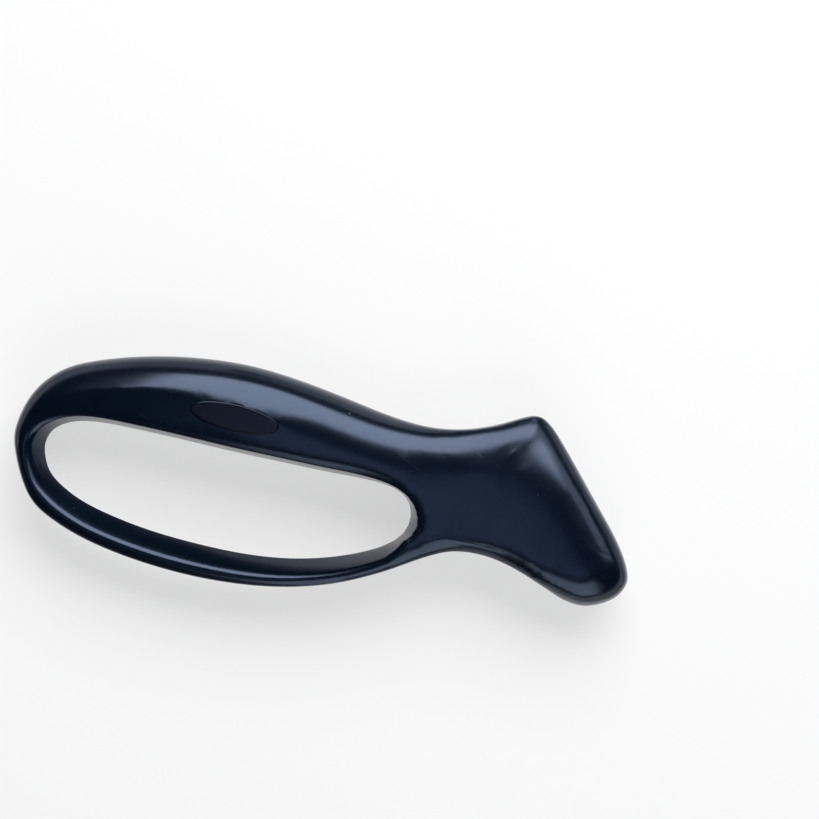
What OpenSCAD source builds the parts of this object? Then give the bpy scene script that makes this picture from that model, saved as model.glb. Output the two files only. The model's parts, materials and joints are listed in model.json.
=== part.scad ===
// Hand-held knife sharpener, lying on its side.
// X runs along the knife's edge, Y from the nose up to the grip, Z across the two moulded halves.
// The origin is under the middle of the part, on the plane that its flat side rests on.

/* [Body] */
// Length, from the back of the finger loop to the front of the nose
body_length = 164; // [140:1:190]
// Height, from the nose's tip to the top of the grip
body_height = 67; // [58:1:78]
// Thickness of each moulded half at its flat side
half_thickness = 10.5; // [9.5:0.1:12.5]
// Width of the rounding along the grip and the front of the head
edge_round = 12; // [9.5:0.5:14]
// How far the finger hole's wall leans back from the parting line to the rim, at the guard
hole_lean = 4; // [3:0.1:4.4]
// Radius of the finger hole's rim
rim_round = 1.6; // [1.2:0.1:1.8]

/* [Knife slot] */
// Width of the slot that the knife passes through
slot_width = 5; // [4.5:0.1:6]
// Height of the slot, from the nose's tip
slot_height = 7; // [6:0.1:8]

/* [Cutters] */
// Length of a cutter bar
cutter_length = 10; // [8.5:0.5:11]
// Width of a cutter bar
cutter_width = 4; // [3.2:0.1:4.5]
// Thickness of a cutter bar
cutter_thickness = 1.5; // [1.2:0.1:1.8]
// Lean of each cutter from upright, which is the angle of the knife's bevel
cutter_lean = 20; // [16:1:22]
// Length of each cutter's edge below the V
cutter_reach = 3.2; // [2.6:0.1:3.8]
// Distance of the V behind the front of the nose
cutter_setback = 12; // [11.5:0.1:12.4]

/* [Carrier] */
// Width of the block that seats the cutters, across the halves
carrier_width = 11.6; // [11.2:0.1:12.4]
// Height of the block
carrier_height = 13.4; // [12.5:0.1:14.5]
// Wall of the block behind the cutters
carrier_back = 3.5; // [3:0.1:3.8]
// Thickness of the plate that clamps the cutters
plate_thickness = 1.4; // [1:0.1:1.6]

/* [Fasteners] */
// Thread diameter of the shell screws
screw_d = 3; // [2.5:0.1:3.5]
// Head diameter of the shell screws
screw_head_d = 5.4; // [4.8:0.1:6]
// Head height of the shell screws
screw_head_h = 1.9; // [1.5:0.1:2.4]
// Length of a shell screw under its head
screw_length = 12; // [10:0.5:14]
// Thread diameter of the clamp screws
clamp_d = 2.5; // [2:0.1:2.8]
// Head diameter of the clamp screws
clamp_head_d = 4.2; // [3.6:0.1:4.4]
// Head height of the clamp screws
clamp_head_h = 1.5; // [1.2:0.1:1.8]
// Diameter of the dowel that locates the carrier
pin_d = 3; // [2.4:0.1:3.2]

/* [Badge] */
// Length of the bare oval badge on the grip
badge_length = 24; // [20:1:27]
// Width of the badge
badge_width = 7; // [6.4:0.1:8]
// Thickness of the badge
badge_thickness = 1; // [0.8:0.1:1.4]

/* [Hidden] */

$fn = 32;
badge_facets = 64;
// Overrun of every cut past the face that it opens
over = 1;
// Gap between a fitted piece and its seat
play = 0.1;

// Stations round the body at the parting line, from the back of the loop over the grip.
// Each has its outline point and its finger hole point, as shares of the length and height from
// the lower left corner, and then how the line between the two bends, as shares of its length:
// how far along its bend lies, and how far to the left.
station_shares = [
    [0.000, 0.636, 0.047, 0.616, 0.500, 0.000],
    [0.006, 0.752, 0.051, 0.672, 0.500, 0.000],
    [0.035, 0.872, 0.066, 0.714, 0.500, 0.000],
    [0.084, 0.954, 0.096, 0.738, 0.500, 0.000],
    [0.151, 0.988, 0.142, 0.734, 0.500, 0.000],
    [0.225, 1.000, 0.207, 0.702, 0.500, 0.000],
    [0.302, 0.992, 0.279, 0.662, 0.500, 0.000],
    [0.381, 0.964, 0.354, 0.618, 0.500, 0.000],
    [0.459, 0.908, 0.430, 0.578, 0.500, 0.000],
    [0.534, 0.838, 0.498, 0.542, 0.500, 0.000],
    [0.606, 0.766, 0.554, 0.516, 0.500, 0.000],
    [0.670, 0.718, 0.593, 0.494, 0.530, -0.070],
    [0.731, 0.706, 0.616, 0.474, 0.570, -0.130],
    [0.788, 0.724, 0.629, 0.454, 0.600, -0.180],
    [0.848, 0.762, 0.637, 0.436, 0.590, -0.180],
    [0.874, 0.724, 0.641, 0.420, 0.575, -0.140],
    [0.896, 0.644, 0.644, 0.406, 0.555, -0.080],
    [0.924, 0.524, 0.645, 0.392, 0.540, -0.020],
    [0.953, 0.396, 0.646, 0.382, 0.535, 0.045],
    [0.979, 0.280, 0.646, 0.372, 0.540, 0.105],
    [0.997, 0.172, 0.646, 0.364, 0.560, 0.160],
    [0.999, 0.092, 0.646, 0.356, 0.600, 0.215],
    [0.976, 0.028, 0.645, 0.348, 0.650, 0.275],
    [0.932, 0.000, 0.644, 0.338, 0.710, 0.340],
    [0.896, 0.024, 0.642, 0.322, 0.765, 0.370],
    [0.860, 0.082, 0.638, 0.306, 0.810, 0.345],
    [0.814, 0.154, 0.634, 0.290, 0.845, 0.275],
    [0.767, 0.204, 0.627, 0.276, 0.855, 0.195],
    [0.714, 0.224, 0.620, 0.262, 0.735, 0.110],
    [0.665, 0.198, 0.611, 0.251, 0.500, 0.000],
    [0.618, 0.156, 0.594, 0.233, 0.500, 0.000],
    [0.575, 0.124, 0.563, 0.213, 0.500, 0.000],
    [0.520, 0.094, 0.515, 0.194, 0.500, 0.000],
    [0.449, 0.080, 0.449, 0.188, 0.500, 0.000],
    [0.372, 0.090, 0.376, 0.206, 0.500, 0.000],
    [0.289, 0.124, 0.299, 0.246, 0.500, 0.000],
    [0.207, 0.180, 0.223, 0.298, 0.500, 0.000],
    [0.133, 0.250, 0.155, 0.362, 0.500, 0.000],
    [0.070, 0.336, 0.099, 0.434, 0.500, 0.000],
    [0.024, 0.442, 0.058, 0.526, 0.500, 0.000]
];

// Cross-section of a half at some of the stations, blended between them: the height of its side as
// a share of the half's thickness, the width of the rounded edge and the distance of the crease
// from the outline as shares of the edge rounding, how full the rounding is, the share of the
// height that it takes, how steeply the side falls past the crease, and the lean of the hole's
// wall and the radius of its rim as shares of their own.
section_shares = [
    // station, side, round, crease, fullness, depth, fall, lean, rim
    [0, 0.60, 0.17, 0.17, 2.0, 0.78, 0.25, 0.80, 1.40],
    [1, 0.63, 0.27, 0.27, 2.0, 0.88, 0.30, 0.60, 1.10],
    [2, 0.70, 0.39, 0.39, 2.0, 0.96, 0.32, 0.38, 0.90],
    [3, 0.78, 0.54, 0.54, 2.0, 1.00, 0.32, 0.36, 0.85],
    [5, 0.94, 0.80, 0.70, 2.0, 1.00, 0.16, 0.36, 1.20],
    [7, 1.00, 1.03, 0.55, 2.0, 1.00, 0.00, 0.36, 1.50],
    [10, 1.00, 1.03, 0.55, 2.0, 0.97, 0.00, 0.34, 2.10],
    [12, 1.00, 1.15, 0.55, 2.2, 0.46, 0.07, 0.22, 1.30],
    [13, 1.00, 1.20, 0.55, 2.2, 0.46, 0.06, 0.20, 1.00],
    [15, 1.00, 1.90, 0.60, 2.0, 0.80, 0.00, 0.24, 1.00],
    [17, 1.00, 1.17, 0.50, 3.0, 1.00, 0.00, 0.35, 1.00],
    [19, 1.00, 1.00, 0.42, 2.8, 1.00, 0.00, 0.40, 1.00],
    [20, 1.00, 1.10, 0.42, 2.8, 1.00, 0.00, 0.42, 1.00],
    [21, 1.00, 1.32, 0.45, 2.8, 1.00, 0.00, 0.44, 1.00],
    [22, 1.00, 0.96, 0.40, 2.4, 0.97, 0.00, 0.45, 1.00],
    [23, 1.00, 0.60, 0.30, 2.0, 0.92, 0.00, 0.45, 1.00],
    [24.2, 1.00, 0.50, 0.28, 2.0, 0.90, 0.00, 0.50, 1.00],
    [25, 1.00, 0.24, 0.14, 2.0, 0.34, 0.00, 0.50, 0.95],
    [26, 1.00, 0.22, 0.12, 2.0, 0.30, 0.00, 0.50, 0.90],
    [27, 1.00, 0.34, 0.20, 2.0, 0.30, 0.00, 0.50, 0.90],
    [28, 1.00, 0.42, 0.24, 2.0, 0.26, 0.00, 0.50, 0.90],
    [29, 0.98, 0.38, 0.20, 2.0, 0.25, 0.00, 0.60, 0.90],
    [31, 0.84, 0.19, 0.10, 2.0, 0.27, 0.00, 0.76, 0.90],
    [33, 0.71, 0.17, 0.09, 2.0, 0.31, 0.00, 0.97, 1.00],
    [35, 0.63, 0.17, 0.09, 2.0, 0.34, 0.00, 1.06, 1.00],
    [37, 0.60, 0.17, 0.09, 2.0, 0.36, 0.00, 1.06, 1.00],
    [39, 0.60, 0.17, 0.12, 2.0, 0.50, 0.10, 0.90, 1.20],
    [40, 0.60, 0.17, 0.17, 2.0, 0.78, 0.25, 0.80, 1.40]
];
// Stations to either side that a section is averaged over
ease_stations = [-0.6, -0.3, 0, 0.3, 0.6];

// Facet under the nose: both ends of its crease with the side, as shares of the length and height,
// how steeply it falls from there, and how softly it starts, as a share of the edge rounding
facet_shares = [[0.871, 0.120], [0.751, 0.379]];
facet_fall = 0.3;
facet_soft_share = 0.1;
// Where the facet comes in, is full, starts to fade and ends, as shares of its crease
facet_fade_shares = [-0.35, 0, 0.2, 1.2];

// How the hole's wall leans, as the power of its height
lean_power = 1.25;
// Turn of the rim's rounding, from the side down to the wall
rim_turn = 52;
// Places up the hole's wall, as shares of its height
wall_shares = [0.5];
// Places round the rim, as shares of its turn
rim_shares = [1, 0.5, 0];
// Places across the side, as shares of the way from the rim to the crease of the facet
inner_side_shares = [0.33, 0.67, 1];
// Places from there to the rounding, as shares of the way
outer_side_shares = [0.33, 0.67, 1];
// Least and most of the way across the side at which the crease lies
crease_limit_shares = [0.15, 0.85];
// Places between the start of the rounding and the crease, as shares of the way
shoulder_shares = [0.5, 1];
// Places from there to the outline, as shares of the way still to go
edge_shares = [0.75, 0.5, 0.3, 0.14, 0.04, 0];
// Places on the parting face, as shares of the way from the outline back to the hole
seam_shares = [0.66, 0.33];
// Columns of facets to each station, and fewer on the long gentle curves between these
columns_each = 3;
gentle_columns_each = 2;
gentle_stations = [[4, 10], [29, 36]];
// Points to each station on the outline that distances are measured to, which both counts divide,
// and how many of them to either side of a section are looked at
chain_each = 6;
chain_reach = 18;
// Stations round the head's two corners, between which distances are measured along the sections
// instead: from where, fully from, fully to, and to where
corner_stations = [[12.2, 13.6, 15.4, 16.8], [18.4, 20, 22, 23.4]];
// Least cosine between a section and the outline that such a distance is corrected by
least_cosine = 0.35;
// Share of a station that the outline's direction is measured over
direction_share = 0.05;
// Times that the place at a distance from the outline is improved
place_tries = 4;
// Most of a section that its rounding may take, and most of it that its inner part may
most_round_share = 0.86;
most_inner_share = 0.92;
// Upright land of each half at the parting line, and the chamfer along it
seam_land = 0.4;
seam_break = 0.15;

// Knife slot and the V above it
slot_top = slot_height - body_height / 2;
vertex_gap = 0.5;
vertex_x = body_length / 2 - cutter_setback;
vertex_y = slot_top - vertex_gap;

// Carrier block, in X and Y
carrier_x0 = vertex_x - cutter_thickness - carrier_back;
carrier_x1 = vertex_x + cutter_thickness;
carrier_y0 = vertex_y - cutter_reach * cos(cutter_lean);
plate_x1 = carrier_x1 + plate_thickness;
heads_x1 = plate_x1 + clamp_head_h;

// Clamp screws, near the carrier's top corners
clamp_edge = 2.1;
clamp_end_gap = 1.2;
clamp_y = carrier_y0 + carrier_height - clamp_edge - clamp_d / 4;
clamp_z = carrier_width / 2 - clamp_edge;
socket_depth = 0.8;
socket_d = 1.6;

// Dowel through the carrier
pin_seat = 1.3;
pin_x = carrier_x0 + carrier_back / 2 + pin_d / 8;
pin_y = vertex_y + cutter_reach;
pin_half = carrier_width / 2 + pin_seat;

// Shell screws, as shares of the length and height from the lower left corner
screw_place_shares = [[0.146, 0.824], [0.545, 0.670], [0.800, 0.600], [0.835, 0.290]];
// Depth of a screw's head below the flat side
screw_sink = 1.6;
screw_hole_play = 0.2;
screw_grip_share = 0.84;

// Spigots of the near half that line up the finger guard, at these stations
spigot_stations = [0, 33, 36];
spigot_d = 2.4;
spigot_height = 2;

// Badge, with its place as shares of the length and height
badge_place_shares = [0.3625, 0.753];
badge_turn = -13;
badge_sink = 0.1;

// Places that follow the shares
function place(share_x, share_y) = [(share_x - 0.5) * body_length, (share_y - 0.5) * body_height];

// Value of one column of the station table, on a smooth closed curve through its rows
function station_value(u, column) =
    let(n = len(station_shares), v = u + n, i = floor(v), f = v - i,
        a = station_shares[(i - 1) % n][column], b = station_shares[i % n][column],
        c = station_shares[(i + 1) % n][column], d = station_shares[(i + 2) % n][column])
    ((2 * b) + (c - a) * f + (2 * a - 5 * b + 4 * c - d) * f * f + (3 * b - a - 3 * c + d) * f * f * f) / 2;

// Row of the section table at a station, straight from one listed row to the next
function listed_row(u) =
    let(v = (u + len(station_shares)) % len(station_shares),
        low = [for (r = section_shares) if (r[0] <= v) r], high = [for (r = section_shares) if (r[0] > v) r],
        a = low[len(low) - 1], b = high[0])
    a + (b - a) * (v - a[0]) / (b[0] - a[0]);

// The same, eased over the stations beside it
function section_row(u) =
    [for (e = ease_stations) 1 / len(ease_stations)] * [for (e = ease_stations) listed_row(u + e)];

function outline_point(u) = place(station_value(u, 0), station_value(u, 1));
function hole_point(u) = place(station_value(u, 2), station_value(u, 3));

// Bend of the line from the hole to the outline at a station
function bend_point(u) =
    let(a = hole_point(u), b = outline_point(u), d = b - a)
    a + station_value(u, 4) * d + station_value(u, 5) * [-d[1], d[0]];

// Point of that line, at a share of its curve from the hole to the outline
function line_point(u, share) =
    let(rest = 1 - share)
    rest * rest * hole_point(u) + 2 * rest * share * bend_point(u) + share * share * outline_point(u);

// Length of that line, close enough for its gentle bend
function line_length(u) =
    let(a = hole_point(u), b = outline_point(u), c = bend_point(u))
    (norm(b - a) + norm(c - a) + norm(b - c)) / 2;

// Point of that line, at a distance from the outline measured along it
function point_in(u, length, distance) =
    let(pace = 2 * norm(outline_point(u) - bend_point(u)) / length, way = distance / length)
    line_point(u, 1 - 2 * way / (pace + sqrt(pace * pace + 4 * (1 - pace) * way)));

// Outline as a closed chain of points
outline_chain = [for (j = [0:chain_each * len(station_shares) - 1]) outline_point(j / chain_each)];

// Distance of a point from the outline, near a station
function outline_distance(p, u) =
    let(n = len(outline_chain), i = round(u * chain_each) + n)
    min([
        for (k = [i - chain_reach:i + chain_reach - 1])
        let(a = outline_chain[k % n], d = outline_chain[(k + 1) % n] - a,
            t = max(0, min(1, (p - a) * d / (d * d))))
        norm(p - a - t * d)
    ]);

// Cosine between a section and the square to the outline, where they meet
function cosine(u) =
    let(t = outline_point(u + direction_share) - outline_point(u - direction_share),
        d = outline_point(u) - bend_point(u))
    max(least_cosine, abs(t[0] * d[1] - t[1] * d[0]) / norm(t) / norm(d));

// How much a section is part of a corner
function corner_at(u) =
    max([for (c = corner_stations) eased(u, c[0], c[1]) * (1 - eased(u, c[2], c[3]))]);

// Distance from the outline of a point at a distance along a section
function distance_in(u, length, along, corner, slope) =
    along == 0 ? 0
        : corner * slope * along + (1 - corner) * outline_distance(point_in(u, length, along), u);

// Distance along a section, up to a limit, at which a distance from the outline is reached
function along_for(u, length, distance, limit, corner, slope, try = 0, along = undef) =
    let(guess = is_undef(along) ? distance
            : along * distance / distance_in(u, length, along, corner, slope),
        next = min(limit, guess))
    try == place_tries ? next
        : along_for(u, length, distance, limit, corner, slope, try + 1, next);

// Height of the side at a distance from the outline
function side_height(t, side, width, fullness, depth, crease, fall) =
    let(s = max(0, 1 - t / width))
    side - depth * (1 - pow(max(0, 1 - pow(s, fullness)), 1 / fullness)) - fall * max(0, crease - t);

// How much a share has passed from one share to another, eased at both
function eased(v, from, to) =
    let(t = max(0, min(1, (v - from) / (to - from))))
    t * t * (3 - 2 * t);

// Depth of the facet under the nose at a point
function facet_depth(p) =
    let(a = place(facet_shares[0][0], facet_shares[0][1]), b = place(facet_shares[1][0], facet_shares[1][1]),
        d = b - a, f = facet_fade_shares, soft = facet_soft_share * edge_round,
        along = (p - a) * d / (d * d),
        past = ((p[0] - a[0]) * -d[1] + (p[1] - a[1]) * d[0]) / norm(d))
    facet_fall * (past + sqrt(past * past + soft * soft)) / 2
        * eased(along, f[0], f[1]) * (1 - eased(along, f[2], f[3]));

// Share of the curve at a station where it crosses the facet's crease, or comes closest to it
function crease_share(u) =
    let(a = place(facet_shares[0][0], facet_shares[0][1]), b = place(facet_shares[1][0], facet_shares[1][1]),
        normal = [a[1] - b[1], b[0] - a[0]],
        h = (hole_point(u) - a) * normal, m = (bend_point(u) - a) * normal, o = (outline_point(u) - a) * normal,
        under_root = m * m - h * o,
        share = h / (h - m + sqrt(max(0, under_root))))
    under_root < 0 ? min(1, (h - m) / (h - 2 * m + o)) : share > 0 && share < 1 ? share : 1 / 2;

// Closed cross-section at a station: the hole's wall, its rim, the side, the rounded edge and the
// parting face
function section_ring(u) =
    let(row = section_row(u),
        side = row[1] * half_thickness, fullness = row[4], fall = row[6],
        lean = row[7] * hole_lean, rim = row[8] * rim_round,
        span = line_length(u),
        start = lean + rim * sin(rim_turn),
        limit = most_round_share * (span - start),
        corner = corner_at(u),
        slope = [for (e = ease_stations) 1 / len(ease_stations)] * [for (e = ease_stations) cosine(u + e)],
        room = distance_in(u, span, limit, corner, slope),
        width = min(row[2] * edge_round, room),
        crease = min(row[3] * edge_round, room),
        depth = row[5] * (side - fall * crease - seam_land),
        outer = along_for(u, span, max(width, crease), limit, corner, slope),
        inner = min(most_inner_share * outer,
            along_for(u, span, min(width, crease), limit, corner, slope)),
        wall_top = side - rim * (1 - cos(rim_turn)),
        flat = span - outer - start,
        crossing = (norm(line_point(u, crease_share(u)) - hole_point(u)) - start) / flat,
        ridge = start + flat * max(crease_limit_shares[0], min(crease_limit_shares[1], crossing)),
        at = function(distance, z) concat(point_in(u, span, span - distance), z),
        on = function(along)
            let(p = point_in(u, span, along), full = side - seam_land,
                t = distance_in(u, span, along, corner, slope),
                z = side_height(t, side, width, fullness, depth, crease, fall))
            concat(p, seam_land + (z - seam_land) * (full - facet_depth(p)) / full))
    concat(
        [at(seam_break, 0), at(0, seam_break)],
        [for (s = wall_shares) at(lean * pow(s, lean_power), s * wall_top)],
        [for (s = rim_shares) at(start - rim * sin(s * rim_turn), side - rim * (1 - cos(s * rim_turn)))],
        [for (s = inner_side_shares) on(span - start - s * (ridge - start))],
        [for (s = outer_side_shares) on(span - ridge - s * (span - outer - ridge))],
        [for (s = shoulder_shares) on(outer + s * (inner - outer))],
        [for (s = edge_shares) on(s * inner)],
        [at(span, seam_break), at(span - seam_break, 0)],
        [for (s = seam_shares) at(s * span, 0)]
    );

// Both outlines of a half, with its parting face on the ground
module half_form() {
    rings = [
        for (i = [0:len(station_shares) - 1])
        let(each_here = len([for (r = gentle_stations) if (i >= r[0] && i <= r[1]) r]) > 0
            ? gentle_columns_each : columns_each)
        for (j = [0:each_here - 1]) section_ring(i + j / each_here)
    ];
    columns = len(rings);
    size = len(rings[0]);
    polyhedron(
        points = [for (ring = rings) each ring],
        faces = [
            for (j = [0:columns - 1], i = [0:size - 1])
            let(a = j * size + i, b = j * size + (i + 1) % size,
                c = ((j + 1) % columns) * size + (i + 1) % size, d = ((j + 1) % columns) * size + i)
            each [[a, b, c], [a, c, d]]
        ]
    );
}

// Slot for the knife, right through the nose, open downwards
module knife_slot() {
    translate([body_length / 4, -body_height, -slot_width / 2])
        cube([body_length, body_height + slot_top, slot_width]);
}

// Room in the nose for the carrier with its plate and screws
module carrier_pocket() {
    translate([carrier_x0 - play, carrier_y0 - play, -carrier_width / 2 - play])
        cube([heads_x1 - carrier_x0 + 2 * play, carrier_height + 2 * play, carrier_width + 2 * play]);
}

module pin_bore() {
    translate([pin_x, pin_y, -pin_half - play])
        cylinder(d = pin_d + play, h = 2 * (pin_half + play));
}

// Puts its children at each screw
module at_screws() {
    for (s = screw_place_shares)
        translate(place(s[0], s[1]))
            children();
}

module at_spigots() {
    for (u = spigot_stations)
        translate(line_point(u, 0.5))
            children();
}

// The badge's oval, grown by a gap
module badge_oval(gap) {
    translate(place(badge_place_shares[0], badge_place_shares[1]))
        rotate(badge_turn)
            polygon([for (i = [0:badge_facets - 1])
                let(turn = i * 360 / badge_facets)
                [(badge_length / 2 + gap) * cos(turn), (badge_width / 2 + gap) * sin(turn)]]);
}

// Half with the badge, which the screws bite into
module near_shell() {
    color("#1d2330")
        translate([0, 0, half_thickness]) {
            difference() {
                half_form();
                knife_slot();
                carrier_pocket();
                pin_bore();
                translate([0, 0, half_thickness - badge_thickness - badge_sink])
                    linear_extrude(badge_thickness + badge_sink + over) badge_oval(play);
                at_screws()
                    translate([0, 0, -over])
                        cylinder(d = screw_grip_share * screw_d, h = screw_point + play + over);
            }
            at_spigots()
                translate([0, 0, -spigot_height])
                    cylinder(d = spigot_d, h = spigot_height + over);
        }
}

// Depth of the far half's screw seat below the parting line, and the reach of a screw past it
screw_seat = half_thickness - screw_sink - screw_head_h;
screw_point = screw_length - screw_seat;

// Half that the screws come in through
module far_shell() {
    color("#1b212e")
        translate([0, 0, half_thickness])
            difference() {
                mirror([0, 0, 1]) half_form();
                knife_slot();
                carrier_pocket();
                pin_bore();
                at_screws() {
                    translate([0, 0, -half_thickness - over])
                        cylinder(d = screw_head_d + 2 * screw_hole_play, h = half_thickness - screw_seat + over);
                    translate([0, 0, -half_thickness])
                        cylinder(d = screw_d + screw_hole_play, h = half_thickness + over);
                }
                at_spigots()
                    translate([0, 0, -spigot_height - play])
                        cylinder(d = spigot_d + play, h = spigot_height + play + over);
            }
}

// Bare oval plate, let into the grip
module badge_plate() {
    color("#242a36")
        translate([0, 0, 2 * half_thickness - badge_thickness - badge_sink])
            linear_extrude(badge_thickness) badge_oval(0);
}

// Outline of a cutter bar, drawn in Y and Z from the V: side 1 leans its foot to -Z, side -1 to +Z
module cutter_outline(side, gap) {
    up = [cos(cutter_lean), side * sin(cutter_lean)];
    out = [sin(cutter_lean), -side * cos(cutter_lean)];
    foot = -cutter_reach - gap;
    head = cutter_length - cutter_reach + gap;
    polygon([foot * up - gap * out, head * up - gap * out,
        head * up + (cutter_width + gap) * out, foot * up + (cutter_width + gap) * out]);
}

// Puts a shape drawn in Y and Z at the V, with its thickness along X
module across(x, thickness) {
    translate([x, vertex_y, half_thickness])
        rotate([90, 0, 90])
            linear_extrude(thickness) children();
}

module front_cutter() {
    color("#8b9096")
        across(vertex_x, cutter_thickness) cutter_outline(1, 0);
}

module rear_cutter() {
    color("#8b9096")
        across(vertex_x - cutter_thickness, cutter_thickness) cutter_outline(-1, 0);
}

// Both clamp screws' axes
module at_clamps() {
    for (side = [-1, 1])
        translate([0, clamp_y, half_thickness + side * clamp_z])
            rotate([0, 90, 0]) children();
}

// Block that seats the cutters, one behind the other
module cutter_carrier() {
    color("#4a4d52")
        difference() {
            translate([carrier_x0, carrier_y0, half_thickness - carrier_width / 2])
                cube([carrier_x1 - carrier_x0, carrier_height, carrier_width]);
            translate([0, 0, half_thickness]) knife_slot();
            translate([0, 0, half_thickness]) pin_bore();
            across(vertex_x, cutter_thickness + over) cutter_outline(1, play);
            across(vertex_x - cutter_thickness, 2 * cutter_thickness + over) cutter_outline(-1, play);
            at_clamps()
                translate([0, 0, carrier_x0 + clamp_end_gap])
                    cylinder(d = clamp_d, h = carrier_x1 - carrier_x0);
        }
}

// Plate over the cutters, notched for the knife
module clamp_plate() {
    color("#a9adb2")
        difference() {
            translate([carrier_x1, carrier_y0, half_thickness - carrier_width / 2])
                cube([plate_thickness, carrier_height, carrier_width]);
            translate([0, 0, half_thickness]) knife_slot();
            at_clamps()
                translate([0, 0, carrier_x1 - over])
                    cylinder(d = clamp_d + play, h = plate_thickness + 2 * over);
        }
}

module clamp_screws() {
    color("#c3c6c9")
        at_clamps()
            difference() {
                union() {
                    translate([0, 0, carrier_x0 + clamp_end_gap + play])
                        cylinder(d = clamp_d, h = plate_x1 - carrier_x0 - clamp_end_gap - play);
                    translate([0, 0, plate_x1])
                        cylinder(d = clamp_head_d, h = clamp_head_h);
                }
                translate([0, 0, heads_x1 - socket_depth])
                    cylinder(d = socket_d, h = socket_depth + over, $fn = 6);
            }
}

module carrier_pin() {
    color("#b4b7bb")
        translate([pin_x, pin_y, half_thickness - pin_half])
            cylinder(d = pin_d, h = 2 * pin_half);
}

module shell_screws() {
    color("#b4b7bb")
        translate([0, 0, half_thickness])
            at_screws()
                difference() {
                    union() {
                        translate([0, 0, -screw_seat])
                            cylinder(d = screw_grip_share * screw_d, h = screw_length);
                        translate([0, 0, -screw_seat - screw_head_h])
                            cylinder(d = screw_head_d, h = screw_head_h);
                    }
                    translate([0, 0, -screw_seat - screw_head_h - over])
                        cylinder(d = socket_d, h = socket_depth + over, $fn = 6);
                }
}

near_shell();
far_shell();
badge_plate();
cutter_carrier();
front_cutter();
rear_cutter();
clamp_plate();
clamp_screws();
carrier_pin();
shell_screws();
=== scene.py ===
import json
import math

import bpy
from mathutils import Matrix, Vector

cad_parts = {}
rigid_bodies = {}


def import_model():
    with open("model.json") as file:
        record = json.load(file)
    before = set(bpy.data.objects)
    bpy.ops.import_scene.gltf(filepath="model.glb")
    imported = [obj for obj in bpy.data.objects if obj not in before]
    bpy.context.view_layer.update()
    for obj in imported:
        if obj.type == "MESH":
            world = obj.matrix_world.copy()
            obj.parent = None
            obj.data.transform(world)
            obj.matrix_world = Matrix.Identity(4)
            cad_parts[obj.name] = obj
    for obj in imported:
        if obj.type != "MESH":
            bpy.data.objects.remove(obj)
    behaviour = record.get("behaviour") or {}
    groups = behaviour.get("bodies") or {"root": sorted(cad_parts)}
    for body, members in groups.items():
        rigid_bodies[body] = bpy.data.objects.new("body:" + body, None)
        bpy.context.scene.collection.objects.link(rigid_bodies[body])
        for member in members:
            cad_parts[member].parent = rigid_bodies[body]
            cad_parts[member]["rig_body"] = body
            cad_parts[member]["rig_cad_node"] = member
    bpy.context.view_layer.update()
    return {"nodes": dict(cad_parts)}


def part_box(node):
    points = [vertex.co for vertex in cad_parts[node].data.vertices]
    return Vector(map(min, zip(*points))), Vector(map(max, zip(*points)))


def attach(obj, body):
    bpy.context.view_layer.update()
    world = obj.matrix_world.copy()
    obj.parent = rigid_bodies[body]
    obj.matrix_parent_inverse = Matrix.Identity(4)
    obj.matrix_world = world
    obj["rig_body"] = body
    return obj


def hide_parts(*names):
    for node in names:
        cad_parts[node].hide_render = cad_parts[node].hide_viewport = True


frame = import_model()

# Near half of the body, the one with the badge.
# One injection moulding in blue-black plastic with a fine satin grain, solid but for the nose.
# It closes on the far half along a fine V-shaped seam, and four screws from behind hold it.
WELD = 2e-6
CREASE_ANGLE = math.radians(32)
FLANK_STEEPNESS = 0.55
FLANK_WELD = 0.00045
TURNED_EDGE_ANGLE = math.radians(12)
QUAD_FLATNESS = math.radians(35)
QUAD_SHAPE = math.radians(60)
SKIN_LEVELS = 2
IRON_FACTOR = 0.5
IRON_TIMES = 50
NEAR_SIDE = 1
PLASTIC_COLOUR = (0.0005, 0.003, 0.0085, 1)
PLASTIC_RUBBED_COLOUR = (0.001, 0.004, 0.0102, 1)
DUST_COLOUR = (0.05, 0.06, 0.075, 1)
PLASTIC_SHEEN_TINT = (0.55, 0.7, 1, 1)
PLASTIC_IOR = 1.56
PLASTIC_ROUGHNESS = (0.19, 0.25)
RUBBED_GLOSS = 0.05
SCRATCH_ROUGHNESS = 0.07
DUST_ROUGHNESS = 0.4
GRAIN_PER_M = 2300
GRAIN_STRENGTH = 0.45
GRAIN_DEPTH = 0.00003
HANDLING_PER_M = 38
SCRATCH_STRETCH = (55, 1500, 60)
SCRATCH_TURN = 0.7
DUST_PER_M = 190
GRIP_MIDDLE = (-0.02, 0.02, 0.0105)
GRIP_REACH = 0.075


def copy_of_node(node, name):
    """A merged copy of a CAD node's loose triangles, as a piece of its own."""
    bpy.ops.object.select_all(action="DESELECT")
    cad = frame["nodes"][node]
    cad.select_set(True)
    bpy.context.view_layer.objects.active = cad
    bpy.ops.object.duplicate()
    piece = bpy.context.object
    piece.name = name
    piece.data.name = name
    piece.parent = None
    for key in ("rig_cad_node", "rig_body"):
        if key in piece:
            del piece[key]
    piece.data.materials.clear()
    bpy.ops.object.mode_set(mode="EDIT")
    bpy.ops.mesh.select_all(action="SELECT")
    bpy.ops.mesh.remove_doubles(threshold=WELD)
    bpy.ops.object.mode_set(mode="OBJECT")
    return piece


def new_material(name):
    material = bpy.data.materials.new(name)
    material.use_nodes = True
    nodes = material.node_tree.nodes
    nodes.clear()
    shader = nodes.new("ShaderNodeBsdfPrincipled")
    output = nodes.new("ShaderNodeOutputMaterial")
    material.node_tree.links.new(shader.outputs["BSDF"], output.inputs["Surface"])
    return material, nodes, material.node_tree.links, shader


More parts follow.
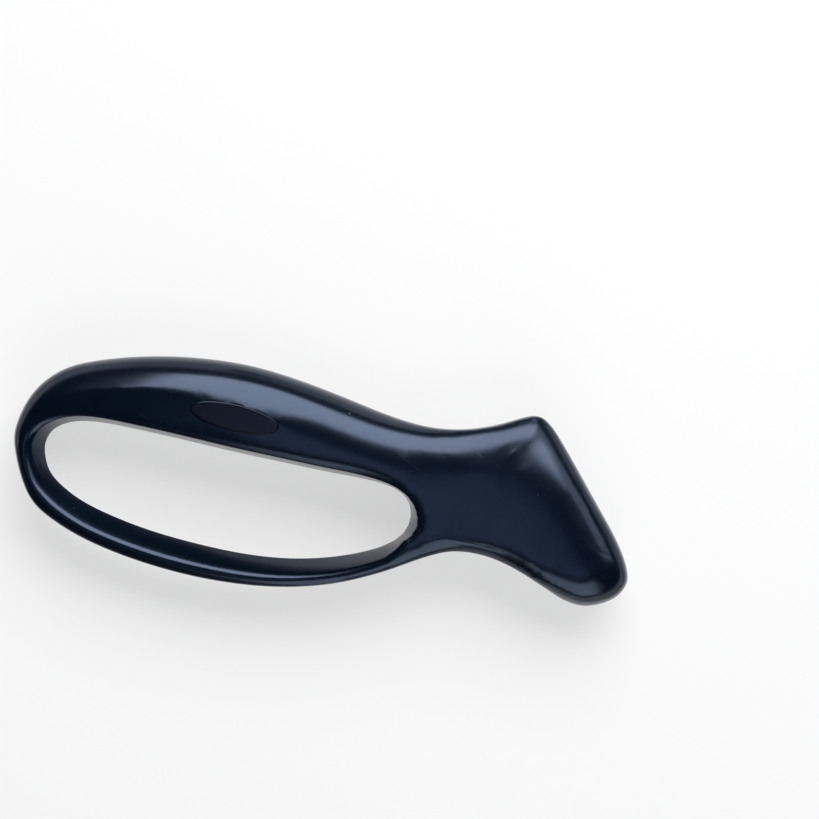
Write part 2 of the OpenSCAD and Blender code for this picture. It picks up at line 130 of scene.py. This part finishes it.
def place_of(nodes, links, stretch=(1, 1, 1), turn=0):
    """The piece's own space in metres, turned about Z and then stretched."""
    place = nodes.new("ShaderNodeTexCoord")
    turned = nodes.new("ShaderNodeVectorRotate")
    turned.rotation_type = "Z_AXIS"
    turned.inputs["Angle"].default_value = turn
    mapping = nodes.new("ShaderNodeMapping")
    mapping.inputs["Scale"].default_value = stretch
    links.new(place.outputs["Object"], turned.inputs["Vector"])
    links.new(turned.outputs["Vector"], mapping.inputs["Vector"])
    return mapping.outputs["Vector"]


def noise(nodes, links, place, scale, detail, roughness=0.5):
    pattern = nodes.new("ShaderNodeTexNoise")
    pattern.inputs["Scale"].default_value = scale
    pattern.inputs["Detail"].default_value = detail
    pattern.inputs["Roughness"].default_value = roughness
    links.new(place, pattern.inputs["Vector"])
    return pattern.outputs["Fac"]


def spread(nodes, links, value, low, high, to_low, to_high):
    """Maps a value's span on to another, and holds it there."""
    span = nodes.new("ShaderNodeMapRange")
    span.inputs["From Min"].default_value = low
    span.inputs["From Max"].default_value = high
    span.inputs["To Min"].default_value = to_low
    span.inputs["To Max"].default_value = to_high
    links.new(value, span.inputs["Value"])
    return span.outputs["Result"]


def combine(nodes, links, operation, first, second):
    sum_node = nodes.new("ShaderNodeMath")
    sum_node.operation = operation
    for socket, value in zip(sum_node.inputs, (first, second)):
        if isinstance(value, (int, float)):
            socket.default_value = value
        else:
            links.new(value, socket)
    return sum_node.outputs["Value"]


def tint(nodes, links, factor, low, high):
    """Blend of two colours, of which either may come from another node."""
    blend = nodes.new("ShaderNodeMix")
    blend.data_type = "RGBA"
    links.new(factor, blend.inputs["Factor"])
    for socket, value in ((blend.inputs["A"], low), (blend.inputs["B"], high)):
        if isinstance(value, tuple):
            socket.default_value = value
        else:
            links.new(value, socket)
    return blend.outputs["Result"]


def relief(nodes, links, height, strength, distance):
    bump = nodes.new("ShaderNodeBump")
    bump.inputs["Strength"].default_value = strength
    bump.inputs["Distance"].default_value = distance
    links.new(height, bump.inputs["Height"])
    return bump.outputs["Normal"]


def satin_plastic():
    """Grain all over, rubbed smoother where the hand holds it, with hairline scratches and dust."""
    material, nodes, links, shader = new_material("satin_plastic")
    place = place_of(nodes, links)
    grain = noise(nodes, links, place, GRAIN_PER_M, 2)
    handling = noise(nodes, links, place, HANDLING_PER_M, 5, 0.6)
    away = nodes.new("ShaderNodeVectorMath")
    away.operation = "DISTANCE"
    away.inputs[1].default_value = GRIP_MIDDLE
    links.new(place, away.inputs[0])
    held = spread(nodes, links, away.outputs["Value"], 0, GRIP_REACH, 1, 0)
    rubbed = combine(nodes, links, "MULTIPLY", spread(nodes, links, handling, 0.35, 0.65, 0.2, 1), held)
    streaks = noise(nodes, links, place_of(nodes, links, SCRATCH_STRETCH, SCRATCH_TURN), 1, 1)
    scratch = spread(nodes, links, streaks, 0.72, 0.76, 0, 1)
    cells = nodes.new("ShaderNodeTexVoronoi")
    cells.inputs["Scale"].default_value = DUST_PER_M
    links.new(place, cells.inputs["Vector"])
    dust = combine(nodes, links, "MULTIPLY",
                   spread(nodes, links, cells.outputs["Distance"], 0.03, 0.05, 1, 0),
                   spread(nodes, links, handling, 0.5, 0.6, 0, 1))
    links.new(tint(nodes, links, dust, tint(nodes, links, rubbed, PLASTIC_COLOUR, PLASTIC_RUBBED_COLOUR),
                   DUST_COLOUR), shader.inputs["Base Color"])
    mottled = spread(nodes, links, handling, 0.3, 0.7, *PLASTIC_ROUGHNESS)
    gloss = combine(nodes, links, "MULTIPLY", rubbed, RUBBED_GLOSS)
    scoring = combine(nodes, links, "MULTIPLY", scratch, SCRATCH_ROUGHNESS)
    dusting = combine(nodes, links, "MULTIPLY", dust, DUST_ROUGHNESS)
    smoother = combine(nodes, links, "SUBTRACT", mottled, gloss)
    scored = combine(nodes, links, "ADD", smoother, scoring)
    links.new(combine(nodes, links, "ADD", scored, dusting), shader.inputs["Roughness"])
    links.new(relief(nodes, links, grain, GRAIN_STRENGTH, GRAIN_DEPTH), shader.inputs["Normal"])
    shader.inputs["IOR"].default_value = PLASTIC_IOR
    shader.inputs["Specular Tint"].default_value = PLASTIC_SHEEN_TINT
    return material


def select_true_edges(skin, side):
    """Selects the sharp edges of a half, but not a fold between two faces of its broad side."""
    bpy.ops.object.mode_set(mode="EDIT")
    bpy.ops.mesh.select_all(action="DESELECT")
    bpy.ops.mesh.select_mode(type="EDGE")
    bpy.ops.mesh.edges_select_sharp(sharpness=CREASE_ANGLE)
    bpy.ops.object.mode_set(mode="OBJECT")
    steepest = {}
    for face in skin.data.polygons:
        face.select = False
        for key in face.edge_keys:
            steepest[key] = min(steepest.get(key, 1), face.normal.z * side)
    for vertex in skin.data.vertices:
        vertex.select = False
    for edge in skin.data.edges:
        edge.select = edge.select and steepest[edge.key] < FLANK_STEEPNESS


def select_flank(skin, side):
    """Selects the broad side of a half, without its cuts, rims and parting line."""
    select_true_edges(skin, side)
    kept = {v for edge in skin.data.edges if edge.select for v in edge.vertices}
    for edge in skin.data.edges:
        edge.select = False
    for vertex in skin.data.vertices:
        vertex.select = vertex.index not in kept and vertex.normal.z * side > FLANK_STEEPNESS
    bpy.ops.object.mode_set(mode="EDIT")
    bpy.ops.mesh.select_mode(type="VERT")


def moulded_skin(node, name, side):
    """A half's copy with its broad side's facets smoothed out. side is 1 where that faces up, or -1."""
    skin = copy_of_node(node, name)
    select_flank(skin, side)
    bpy.ops.mesh.remove_doubles(threshold=FLANK_WELD)
    bpy.ops.mesh.select_all(action="SELECT")
    bpy.ops.mesh.beautify_fill(angle_limit=TURNED_EDGE_ANGLE)
    bpy.ops.mesh.tris_convert_to_quads(face_threshold=QUAD_FLATNESS, shape_threshold=QUAD_SHAPE)
    bpy.ops.object.mode_set(mode="OBJECT")
    select_true_edges(skin, side)
    bpy.ops.object.mode_set(mode="EDIT")
    bpy.ops.mesh.select_mode(type="EDGE")
    bpy.ops.transform.edge_crease(value=1)
    bpy.ops.object.mode_set(mode="OBJECT")
    finer = skin.modifiers.new("finer", "SUBSURF")
    finer.levels = finer.render_levels = SKIN_LEVELS
    bpy.ops.object.modifier_apply(modifier=finer.name)
    select_flank(skin, side)
    bpy.ops.mesh.vertices_smooth(factor=IRON_FACTOR, repeat=IRON_TIMES)
    bpy.ops.mesh.select_all(action="DESELECT")
    bpy.ops.object.mode_set(mode="OBJECT")
    bpy.ops.object.shade_smooth_by_angle(angle=CREASE_ANGLE)
    return skin


body_plastic = satin_plastic()
near_skin = moulded_skin("near_shell", "near_skin", NEAR_SIDE)
near_skin.data.materials.append(body_plastic)
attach(near_skin, "root")
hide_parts("near_shell")

# Far half of the body, the one with the screw seats.
# The mirror of the near half in the same plastic, which the sharpener lies on.
# The four screws draw it on to the near half, and its carrier pocket matches the other.
far_skin = moulded_skin("far_shell", "far_skin", -NEAR_SIDE)
far_skin.data.materials.append(body_plastic)
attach(far_skin, "root")
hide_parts("far_shell")

# Bare oval badge in the grip's near side.
# A smooth black plate with a sloped rim that catches the light, pressed into its recess.
BADGE_RIM = 0.0005
BADGE_DROP = 0.00026
FLAT_MERGE_ANGLE = math.radians(1)
BLOCK_EDGE_ANGLE = math.radians(40)
BADGE_IOR = 1.42
BADGE_COLOUR = (0.0012, 0.0022, 0.0045, 1)
BADGE_SMUDGE_COLOUR = (0.0025, 0.0038, 0.0065, 1)
BADGE_ROUGHNESS = (0.13, 0.22)
SMUDGE_PER_M = 140
BADGE_WAVE_PER_M = 500
BADGE_WAVE_STRENGTH = 0.08
BADGE_WAVE_DEPTH = 0.00004


def smooth_and_weight(piece, angle):
    """Smooth shading that keeps the true edges and lets the large flats stay flat."""
    bpy.ops.object.select_all(action="DESELECT")
    piece.select_set(True)
    bpy.context.view_layer.objects.active = piece
    bpy.ops.object.shade_smooth_by_angle(angle=angle)
    weigh = piece.modifiers.new("weigh", "WEIGHTED_NORMAL")
    weigh.keep_sharp = True
    weigh.mode = "FACE_AREA_WITH_ANGLE"
    bpy.ops.object.modifier_apply(modifier=weigh.name)


def merged_flats(piece):
    """Joins the triangles of each flat face, so that its edges can be bevelled cleanly."""
    bpy.ops.object.mode_set(mode="EDIT")
    bpy.ops.mesh.select_all(action="SELECT")
    bpy.ops.mesh.dissolve_limited(angle_limit=FLAT_MERGE_ANGLE)
    bpy.ops.mesh.select_all(action="DESELECT")
    bpy.ops.object.mode_set(mode="OBJECT")


badge = copy_of_node("badge_plate", "badge")
merged_flats(badge)
badge_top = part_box("badge_plate")[1].z
for face in badge.data.polygons:
    face.select = min(badge.data.vertices[i].co.z for i in face.vertices) > badge_top - WELD
bpy.ops.object.mode_set(mode="EDIT")
bpy.ops.mesh.select_mode(type="FACE")
bpy.ops.mesh.inset(thickness=BADGE_RIM)
bpy.ops.object.mode_set(mode="OBJECT")
inner = {i for face in badge.data.polygons if face.select for i in face.vertices}
for vertex in badge.data.vertices:
    if vertex.co.z > badge_top - WELD and vertex.index not in inner:
        vertex.co.z -= BADGE_DROP
smooth_and_weight(badge, BLOCK_EDGE_ANGLE)
badge_paint, nodes, links, shader = new_material("smooth_black_badge")
place = place_of(nodes, links)
smudge = noise(nodes, links, place, SMUDGE_PER_M, 4, 0.6)
smudged = spread(nodes, links, smudge, 0.4, 0.65, 0, 1)
links.new(tint(nodes, links, smudged, BADGE_COLOUR, BADGE_SMUDGE_COLOUR), shader.inputs["Base Color"])
links.new(spread(nodes, links, smudge, 0.35, 0.65, *BADGE_ROUGHNESS), shader.inputs["Roughness"])
wave = noise(nodes, links, place, BADGE_WAVE_PER_M, 2)
links.new(relief(nodes, links, wave, BADGE_WAVE_STRENGTH, BADGE_WAVE_DEPTH), shader.inputs["Normal"])
shader.inputs["IOR"].default_value = BADGE_IOR
shader.inputs["Specular Tint"].default_value = PLASTIC_SHEEN_TINT
badge.data.materials.append(badge_paint)
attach(badge, "root")
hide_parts("badge_plate")

# Carrier block in the nose.
# Glass-filled plastic, a shade greyer than the body, with the two cutters' seats one behind the
# other. The dowel locates it between the halves.
CARRIER_BEVEL = 0.00015
CARRIER_COLOUR = (0.03, 0.032, 0.036, 1)
CARRIER_FIBRE_COLOUR = (0.06, 0.063, 0.068, 1)
CARRIER_ROUGHNESS = (0.48, 0.62)
FIBRE_STRETCH = (900, 3200, 3200)
FIBRE_TURN = 0.5
FIBRE_STRENGTH = 0.25
FIBRE_DEPTH = 0.00003
BROKEN_EDGE_ANGLE = math.radians(35)
BEVEL_STEPS = 2


def machined(node, name, bevel_width, edge_angle):
    """A node's copy with its sharp edges broken and its flats shaded flat."""
    piece = copy_of_node(node, name)
    merged_flats(piece)
    bevel = piece.modifiers.new("bevel", "BEVEL")
    bevel.width = bevel_width
    bevel.segments = BEVEL_STEPS
    bevel.limit_method = "ANGLE"
    bevel.angle_limit = BROKEN_EDGE_ANGLE
    bpy.ops.object.modifier_apply(modifier=bevel.name)
    smooth_and_weight(piece, edge_angle)
    return piece


carrier = machined("cutter_carrier", "carrier", CARRIER_BEVEL, BLOCK_EDGE_ANGLE)
carrier_plastic, nodes, links, shader = new_material("glass_filled_plastic")
fibre = noise(nodes, links, place_of(nodes, links, FIBRE_STRETCH, FIBRE_TURN), 1, 3, 0.6)
strands = spread(nodes, links, fibre, 0.45, 0.7, 0, 1)
links.new(tint(nodes, links, strands, CARRIER_COLOUR, CARRIER_FIBRE_COLOUR), shader.inputs["Base Color"])
links.new(spread(nodes, links, fibre, 0.3, 0.7, *CARRIER_ROUGHNESS), shader.inputs["Roughness"])
links.new(relief(nodes, links, fibre, FIBRE_STRENGTH, FIBRE_DEPTH), shader.inputs["Normal"])
carrier.data.materials.append(carrier_plastic)
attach(carrier, "root")
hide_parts("cutter_carrier")

# Front cutter, leaning to one side of the slot.
# A bar of ground carbide with fine grinding lines along it, seated in the carrier's front step.
CUTTER_BEVEL = 0.00006
CARBIDE_COLOUR = (0.19, 0.195, 0.205, 1)
CARBIDE_WORN_COLOUR = (0.3, 0.305, 0.315, 1)
CARBIDE_ROUGHNESS = (0.24, 0.4)
CARBIDE_WEAR_PER_M = 420
GRINDING_STRETCH = (9000, 260, 9000)
GRINDING_STRENGTH = 0.15
MARK_DEPTH = 0.00001
CUTTER_LEAN = math.radians(20)


def ground_carbide(name, lean):
    """Carbide with grinding lines, worn paler in patches."""
    material, nodes, links, shader = new_material(name)
    along = nodes.new("ShaderNodeMapping")
    along.inputs["Rotation"].default_value = (lean, 0, 0)
    along.inputs["Scale"].default_value = GRINDING_STRETCH
    source = nodes.new("ShaderNodeTexCoord")
    links.new(source.outputs["Object"], along.inputs["Vector"])
    lines = noise(nodes, links, along.outputs["Vector"], 1, 3, 0.55)
    wear = noise(nodes, links, place_of(nodes, links), CARBIDE_WEAR_PER_M, 4, 0.6)
    worn = spread(nodes, links, wear, 0.45, 0.65, 0, 1)
    links.new(tint(nodes, links, worn, CARBIDE_COLOUR, CARBIDE_WORN_COLOUR), shader.inputs["Base Color"])
    links.new(spread(nodes, links, lines, 0.3, 0.7, *CARBIDE_ROUGHNESS), shader.inputs["Roughness"])
    links.new(relief(nodes, links, lines, GRINDING_STRENGTH, MARK_DEPTH), shader.inputs["Normal"])
    shader.inputs["Metallic"].default_value = 1
    return material


front_carbide = machined("front_cutter", "front_carbide", CUTTER_BEVEL, BLOCK_EDGE_ANGLE)
front_carbide.data.materials.append(ground_carbide("ground_carbide_front", CUTTER_LEAN))
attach(front_carbide, "root")
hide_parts("front_cutter")

# Rear cutter, leaning to the other side, so that the two edges cross in a V.
# The same bar as the front one, seated in the carrier's rear step.
rear_carbide = machined("rear_cutter", "rear_carbide", CUTTER_BEVEL, BLOCK_EDGE_ANGLE)
rear_carbide.data.materials.append(ground_carbide("ground_carbide_rear", -CUTTER_LEAN))
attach(rear_carbide, "root")
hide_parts("rear_cutter")

# Clamp plate over the cutters.
# Brushed sheet steel, notched for the knife, held to the carrier by the two clamp screws.
CLAMP_BEVEL = 0.00012
STEEL_COLOUR = (0.42, 0.42, 0.43, 1)
STEEL_DULL_COLOUR = (0.3, 0.295, 0.29, 1)
STEEL_MARK_ROUGHNESS = 0.12
STEEL_DULL_ROUGHNESS = 0.1
STEEL_DULL_PER_M = 260
STEEL_MARK_STRENGTH = 0.12
BRUSHING_STRETCH = (8000, 220, 8000)
BRUSHED_ROUGHNESS = 0.26


def bright_steel(name, stretch, rough):
    """Steel with marks drawn out by the stretch, dulled in patches."""
    material, nodes, links, shader = new_material(name)
    marks = noise(nodes, links, place_of(nodes, links, stretch), 1, 3, 0.55)
    dull = noise(nodes, links, place_of(nodes, links), STEEL_DULL_PER_M, 4, 0.6)
    patches = spread(nodes, links, dull, 0.45, 0.7, 0, 1)
    links.new(tint(nodes, links, patches, STEEL_COLOUR, STEEL_DULL_COLOUR), shader.inputs["Base Color"])
    marked = spread(nodes, links, marks, 0.3, 0.7, rough, rough + STEEL_MARK_ROUGHNESS)
    dulled = spread(nodes, links, dull, 0.45, 0.7, 0, STEEL_DULL_ROUGHNESS)
    links.new(combine(nodes, links, "ADD", marked, dulled), shader.inputs["Roughness"])
    links.new(relief(nodes, links, marks, STEEL_MARK_STRENGTH, MARK_DEPTH), shader.inputs["Normal"])
    shader.inputs["Metallic"].default_value = 1
    return material


clamp = machined("clamp_plate", "clamp", CLAMP_BEVEL, BLOCK_EDGE_ANGLE)
clamp.data.materials.append(bright_steel("brushed_steel", BRUSHING_STRETCH, BRUSHED_ROUGHNESS))
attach(clamp, "root")
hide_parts("clamp_plate")

# Clamp screws, two cap screws with hexagon sockets.
# Turned steel, screwed through the clamp plate into the carrier's top corners.
CLAMP_SCREW_BEVEL = 0.00012
ROUND_EDGE_ANGLE = math.radians(35)
TURNING_STRETCH = (6000, 700, 700)
TURNED_ROUGHNESS = 0.22
clamp_heads = machined("clamp_screws", "clamp_heads", CLAMP_SCREW_BEVEL, ROUND_EDGE_ANGLE)
clamp_heads.data.materials.append(bright_steel("turned_steel", TURNING_STRETCH, TURNED_ROUGHNESS))
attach(clamp_heads, "root")
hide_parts("clamp_screws")

# Dowel that locates the carrier.
# Ground steel pin across both halves, hidden inside the nose.
DOWEL_BEVEL = 0.0002
PIN_GRINDING_STRETCH = (500, 500, 7000)
PIN_ROUGHNESS = 0.2
dowel = machined("carrier_pin", "dowel", DOWEL_BEVEL, ROUND_EDGE_ANGLE)
dowel.data.materials.append(bright_steel("ground_steel", PIN_GRINDING_STRETCH, PIN_ROUGHNESS))
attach(dowel, "root")
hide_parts("carrier_pin")

# Shell screws, four with flat heads and hexagon sockets.
# Zinc-plated steel, sunk in the far half's seats and biting into the near half.
HEAD_BEVEL = 0.00022
PLATING_STRETCH = (900, 900, 900)
PLATED_ROUGHNESS = 0.3
housing_screws = machined("shell_screws", "housing_screws", HEAD_BEVEL, ROUND_EDGE_ANGLE)
housing_screws.data.materials.append(bright_steel("zinc_plated_steel", PLATING_STRETCH, PLATED_ROUGHNESS))
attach(housing_screws, "root")
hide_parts("shell_screws")

# Floor: a plain white table that also shows white to the camera and in what reflects it.
FLOOR_SIZE = 12
FLOOR_COLOUR = (0.9, 0.9, 0.9, 1)
FLOOR_WHITE = 0.6
FLOOR_ROUGHNESS = 0.9
FLOOR_SPECULAR = 0.1
bpy.ops.object.select_all(action="DESELECT")
bpy.ops.mesh.primitive_plane_add(size=FLOOR_SIZE)
floor = bpy.context.object
floor.name = "floor"
floor_paint, nodes, links, shader = new_material("floor_paint")
shader.inputs["Base Color"].default_value = FLOOR_COLOUR
shader.inputs["Roughness"].default_value = FLOOR_ROUGHNESS
shader.inputs["Specular IOR Level"].default_value = FLOOR_SPECULAR
rays = nodes.new("ShaderNodeLightPath")
glossy = rays.outputs["Is Glossy Ray"]
mirrored = combine(nodes, links, "MAXIMUM", glossy, rays.outputs["Is Transmission Ray"])
seen = combine(nodes, links, "MAXIMUM", rays.outputs["Is Camera Ray"], mirrored)
white = nodes.new("ShaderNodeEmission")
both = nodes.new("ShaderNodeMixShader")
links.new(combine(nodes, links, "MULTIPLY", seen, FLOOR_WHITE), both.inputs["Fac"])
links.new(shader.outputs["BSDF"], both.inputs[1])
links.new(white.outputs["Emission"], both.inputs[2])
floor_output = [n for n in nodes if n.type == "OUTPUT_MATERIAL"][0]
links.new(both.outputs["Shader"], floor_output.inputs["Surface"])
floor.data.materials.append(floor_paint)

# Studio light: the main softbox high past the grip and a little towards the head, weaker ones
# past the head and past the nose, and a small bluish panel nearly overhead, in a dark room.
ABOVE_COLOUR = (0.68, 0.78, 1)
ROOM_COLOUR = (0.03, 0.034, 0.04, 1)


def softbox(name, tilt, azimuth, distance, width, height, radiance):
    """A panel that faces the object. Angles in degrees, from overhead and from past the grip."""
    data = bpy.data.lights.new(name, "AREA")
    data.shape = "RECTANGLE"
    data.size = width
    data.size_y = height
    data.energy = radiance * math.pi * width * height
    panel = bpy.data.objects.new(name, data)
    bpy.context.scene.collection.objects.link(panel)
    lean, turn = math.radians(tilt), math.radians(azimuth)
    way = Vector((math.sin(lean) * math.sin(turn), math.sin(lean) * math.cos(turn), math.cos(lean)))
    panel.location = way * distance
    panel.rotation_euler = way.to_track_quat("Z", "Y").to_euler()
    return panel


softbox("past_corner", 48, 17, 1.0, 0.95, 0.75, 5.8)
softbox("past_head", 56, 62, 1.0, 0.5, 0.5, 1.7)
softbox("past_nose", 55, 172, 1.2, 0.8, 1.0, 2.0)
above = softbox("above", 8, 178, 1.6, 0.42, 0.62, 0.85)
above.data.color = ABOVE_COLOUR
world = bpy.data.worlds.new("room")
world.use_nodes = True
world.node_tree.nodes["Background"].inputs["Color"].default_value = ROOM_COLOUR
bpy.context.scene.world = world

# Camera, square to the side, over the middle of the picture.
PICTURE_PX = 819
PX_PER_MM = 3.725
MIDDLE_PX = (321.5, 480.75)
MM_PER_M = 1000
CAMERA_HEIGHT = 0.55
SENSOR_MM = 36
seam_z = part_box("near_shell")[1].z / 2
px_per_m = PX_PER_MM * MM_PER_M
camera_data = bpy.data.cameras.new("camera")
camera_data.sensor_width = SENSOR_MM
camera_data.lens = SENSOR_MM * CAMERA_HEIGHT / (PICTURE_PX / px_per_m)
camera = bpy.data.objects.new("camera", camera_data)
bpy.context.scene.collection.objects.link(camera)
camera.location = (
    (PICTURE_PX / 2 - MIDDLE_PX[0]) / px_per_m,
    (MIDDLE_PX[1] - PICTURE_PX / 2) / px_per_m,
    seam_z + CAMERA_HEIGHT,
)
bpy.context.scene.camera = camera
bpy.context.scene.view_settings.view_transform = "Standard"
